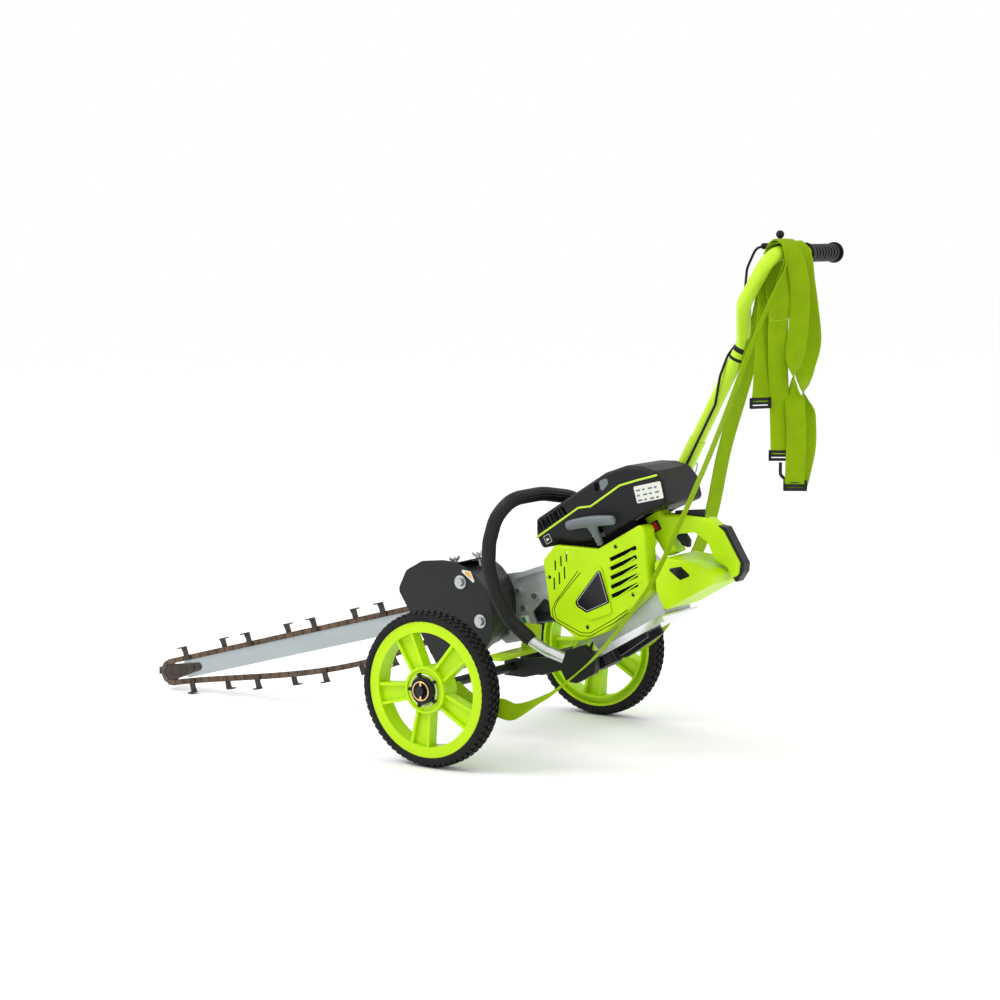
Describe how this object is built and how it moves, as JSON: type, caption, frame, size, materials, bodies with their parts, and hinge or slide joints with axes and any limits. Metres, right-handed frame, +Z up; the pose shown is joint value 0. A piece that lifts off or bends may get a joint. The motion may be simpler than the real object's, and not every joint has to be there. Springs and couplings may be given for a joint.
{
  "type": "walk-behind chain trencher",
  "caption": "Wheeled chain trencher: petrol powerhead, belt arm, guarded sprocket, long digging bar with toothed chain, tall mast handle and webbing harness.",
  "frame": {"origin": "middle of the footprint on the ground", "axes": "+X back towards the operator, +Y to the operator's right, +Z up"},
  "size_m": [1.5796, 0.6992, 1.034],
  "materials": {
    "lime_plastic": "moulded, satin gloss",
    "lime_paint": "powder coat",
    "tyre_rubber": "knobbed rubber",
    "black_plastic": "fine moulded grain",
    "black_rubber": "matt",
    "black_paint": "semi-gloss powder coat",
    "bar_steel": "pale ground steel",
    "chain_steel": "oiled, browned steel",
    "cutter_steel": "dark forged steel",
    "zinc": "zinc plated",
    "brass_wire": "yellow passivated spring wire",
    "cast_alloy": "sand cast and machined",
    "lime_tube": "powder coat on drawn tube",
    "bare_tube": "satin drawn tube",
    "grey_plastic": "satin",
    "red_plastic": "gloss",
    "filter_foam": "open foam",
    "webbing": "woven polyester",
    "cable_sheath": "ribbed sheath"
  },
  "bodies": {
    "frame": {"axle": "black_paint", "lynch_rings": "brass_wire", "cross_strap": "lime_paint", "cradle": "black_paint", "mast_socket": "lime_tube", "chain_bar": "bar_steel", "bar_nose": "cutter_steel", "shaft_bearings": "chain_steel", "chain_links": "chain_steel", "chain_cutters": "cutter_steel", "guard_shell": "black_paint", "guard_back": "black_paint", "carrier_bolts": "zinc", "guard_strip": "black_paint", "wing_nuts": "zinc", "arm_plate": "cast_alloy", "arm_housing": "grey_plastic", "drive_belt": "black_rubber", "engine_block": "cast_alloy", "cylinder": "cast_alloy", "piston": "cast_alloy", "muffler": "black_paint", "starter_cover": "lime_plastic", "filter_cover": "black_plastic", "filter_element": "filter_foam", "fuel_tank": "lime_plastic", "rear_handle": "lime_plastic", "handle_insert": "black_rubber", "base_plate": "bare_tube", "front_handle_tube": "bare_tube", "front_handle_grip": "black_rubber", "rubber_feet": "black_rubber", "mast_tube": "lime_tube", "handle_tube": "lime_tube", "hand_grip": "black_rubber", "lever_perch": "black_plastic", "throttle_cable": "cable_sheath", "strap_left": "webbing", "strap_right": "webbing", "strap_loop": "webbing", "strap_buckles": "black_plastic"},
    "wheel_left": {"wheel_rim_left": "lime_plastic", "tyre_left": "tyre_rubber", "hub_cap_left": "black_plastic"},
    "wheel_right": {"wheel_rim_right": "lime_plastic", "tyre_right": "tyre_rubber", "hub_cap_right": "black_plastic"},
    "sprocket_shaft": {"drive_sprocket": "chain_steel", "drive_shaft": "chain_steel"},
    "nose_wheel": {"nose_sprocket": "chain_steel"},
    "belt_drum": {"clutch_drum": "chain_steel"},
    "crank": {"crankshaft": "chain_steel"},
    "recoil": {"starter_pulley": "grey_plastic"},
    "pull_handle": {"starter_handle": "grey_plastic"},
    "trigger": {"trigger": "black_plastic"},
    "lockout": {"lockout": "black_plastic"},
    "stop_button": {"stop_switch": "red_plastic"},
    "fuel_cap": {"fuel_cap": "black_plastic"},
    "finger_lever": {"throttle_lever": "black_plastic"},
    "lock_pin": {"mast_pin": "chain_steel"}
  },
  "joints": [
    {"name": "wheel_left_spin", "type": "hinge", "parent": "frame", "child": "wheel_left", "pos_m": [0.20095, -0.3095, 0.1525], "axis": [0, 1, 0], "continuous": true},
    {"name": "wheel_right_spin", "type": "hinge", "parent": "frame", "child": "wheel_right", "pos_m": [0.20095, 0.3095, 0.1525], "axis": [0, 1, 0], "continuous": true},
    {"name": "chain_drive", "type": "hinge", "parent": "frame", "child": "sprocket_shaft", "pos_m": [0.10599, 0, 0.26785], "axis": [0, 1, 0], "continuous": true},
    {"name": "nose_spin", "type": "hinge", "parent": "frame", "child": "nose_wheel", "pos_m": [-0.74005, 0, 0.03957], "axis": [0, 1, 0], "continuous": true},
    {"name": "drum_spin", "type": "hinge", "parent": "frame", "child": "belt_drum", "pos_m": [0.44905, 0, 0.32827], "axis": [0, 1, 0], "continuous": true},
    {"name": "crank_spin", "type": "hinge", "parent": "frame", "child": "crank", "pos_m": [0.44905, 0, 0.32827], "axis": [0, 1, 0], "continuous": true},
    {"name": "starter_pull", "type": "slide", "parent": "frame", "child": "pull_handle", "axis": [-0.1462, -0.5002, 0.8535], "range_m": [0, 0.085], "stiffness_N_per_m": 12, "springref_m": -0.06},
    {"name": "recoil_turn", "type": "hinge", "parent": "frame", "child": "recoil", "pos_m": [0.44905, 0, 0.32827], "axis": [0, 1, 0], "range_deg": [-170, 0]},
    {"name": "trigger_squeeze", "type": "hinge", "parent": "frame", "child": "trigger", "pos_m": [0.5797, -0.022, 0.45798], "axis": [0, -1, 0], "range_deg": [0, 14], "stiffness_Nm_per_rad": 0.05, "springref_deg": -11.46},
    {"name": "lockout_press", "type": "hinge", "parent": "frame", "child": "lockout", "pos_m": [0.62674, -0.022, 0.48051], "axis": [0, -1, 0], "range_deg": [0, 8], "stiffness_Nm_per_rad": 0.05, "springref_deg": -11.46},
    {"name": "stop_press", "type": "slide", "parent": "frame", "child": "stop_button", "axis": [0, 1, 0], "range_m": [0, 0.002], "stiffness_N_per_m": 300, "springref_m": -0.001},
    {"name": "fuel_cap_turn", "type": "hinge", "parent": "frame", "child": "fuel_cap", "pos_m": [0.6359, 0.038, 0.37264], "axis": [0, 1, 0], "range_deg": [0, 120]},
    {"name": "lever_squeeze", "type": "hinge", "parent": "frame", "child": "finger_lever", "pos_m": [0.72295, 0.105, 0.998], "axis": [0, 0, -1], "range_deg": [0, 8], "stiffness_Nm_per_rad": 0.3, "springref_deg": -8.59},
    {"name": "mast_pin_pull", "type": "slide", "parent": "frame", "child": "lock_pin", "axis": [0, 1, 0], "range_m": [0, 0.055]}
  ],
  "couplings": [
    {"joint": "nose_spin", "follows": "chain_drive", "ratio": 1},
    {"joint": "drum_spin", "follows": "chain_drive", "ratio": 1},
    {"joint": "recoil_turn", "follows": "starter_pull", "rad_per_m": -33.333}
  ]
}
